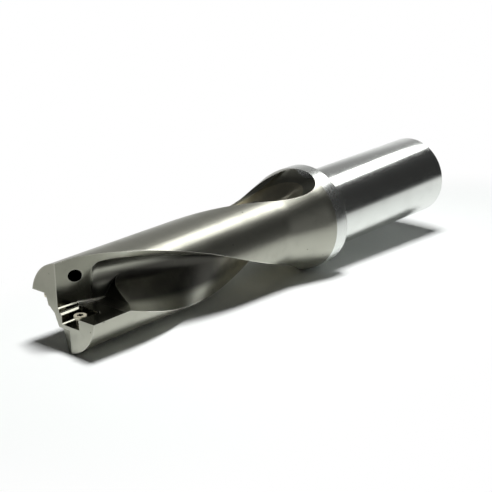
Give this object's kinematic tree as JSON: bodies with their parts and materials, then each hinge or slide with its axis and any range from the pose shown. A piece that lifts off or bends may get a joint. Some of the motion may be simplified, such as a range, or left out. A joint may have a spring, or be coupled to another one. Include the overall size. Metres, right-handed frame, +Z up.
{
  "type": "indexable drill",
  "caption": "Twist-fluted steel drill body with a cylindrical shank, a collar, coolant channels, and an inner and an outer pocket for clamped cutting inserts.",
  "frame": {"origin": "middle of the bounding box at floor height; the drill lies on its collar's rim and on its lower cutting lobe, as in the picture", "axes": "+X towards the end of the shank, raised by 2.3 degrees, +Z up; the cutting end is at -X and the inner pocket faces -Y and up"},
  "size_m": [0.1556, 0.0316, 0.0318],
  "materials": {
    "tool_steel": "satin, ground on the shank",
    "screw_steel": "smooth"
  },
  "bodies": {
    "root": {"drill_body": "tool_steel", "inner_insert_screw": "screw_steel", "outer_insert_screw": "screw_steel"}
  },
  "joints": []
}
